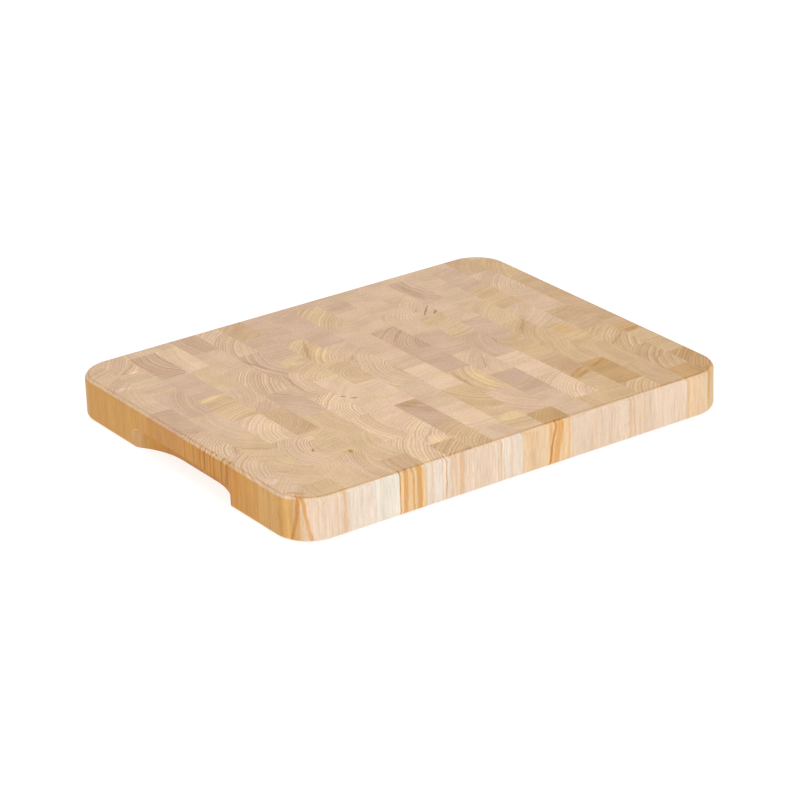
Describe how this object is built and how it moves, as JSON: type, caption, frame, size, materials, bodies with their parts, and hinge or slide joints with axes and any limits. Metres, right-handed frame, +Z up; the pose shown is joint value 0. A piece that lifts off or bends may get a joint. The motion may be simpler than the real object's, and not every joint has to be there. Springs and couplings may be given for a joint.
{
  "type": "cutting board",
  "caption": "End-grain wooden cutting board with rounded corners, laid up from upright blocks in strips, with a finger grip under each short side.",
  "frame": {"origin": "middle of the underside, on the surface the board rests on", "axes": "+X along the long side, +Y along the short side towards the rear, +Z up through the thickness"},
  "size_m": [0.4, 0.32, 0.035],
  "materials": {
    "end_grain_wood": "sanded and oiled, satin"
  },
  "bodies": {
    "root": {"strip_01_odd_blocks": "end_grain_wood", "strip_01_even_blocks": "end_grain_wood", "strip_02_odd_blocks": "end_grain_wood", "strip_02_even_blocks": "end_grain_wood", "strip_03_odd_blocks": "end_grain_wood", "strip_03_even_blocks": "end_grain_wood", "strip_04_odd_blocks": "end_grain_wood", "strip_04_even_blocks": "end_grain_wood", "strip_05_odd_blocks": "end_grain_wood", "strip_05_even_blocks": "end_grain_wood", "strip_06_odd_blocks": "end_grain_wood", "strip_06_even_blocks": "end_grain_wood", "strip_07_odd_blocks": "end_grain_wood", "strip_07_even_blocks": "end_grain_wood", "strip_08_odd_blocks": "end_grain_wood", "strip_08_even_blocks": "end_grain_wood", "strip_09_odd_blocks": "end_grain_wood", "strip_09_even_blocks": "end_grain_wood", "strip_10_odd_blocks": "end_grain_wood", "strip_10_even_blocks": "end_grain_wood", "strip_11_odd_blocks": "end_grain_wood", "strip_11_even_blocks": "end_grain_wood", "strip_12_odd_blocks": "end_grain_wood", "strip_12_even_blocks": "end_grain_wood", "strip_13_odd_blocks": "end_grain_wood", "strip_13_even_blocks": "end_grain_wood", "strip_14_odd_blocks": "end_grain_wood", "strip_14_even_blocks": "end_grain_wood", "strip_15_odd_blocks": "end_grain_wood", "strip_15_even_blocks": "end_grain_wood", "strip_16_odd_blocks": "end_grain_wood", "strip_16_even_blocks": "end_grain_wood", "strip_17_odd_blocks": "end_grain_wood", "strip_17_even_blocks": "end_grain_wood", "strip_18_odd_blocks": "end_grain_wood", "strip_18_even_blocks": "end_grain_wood"}
  },
  "joints": []
}
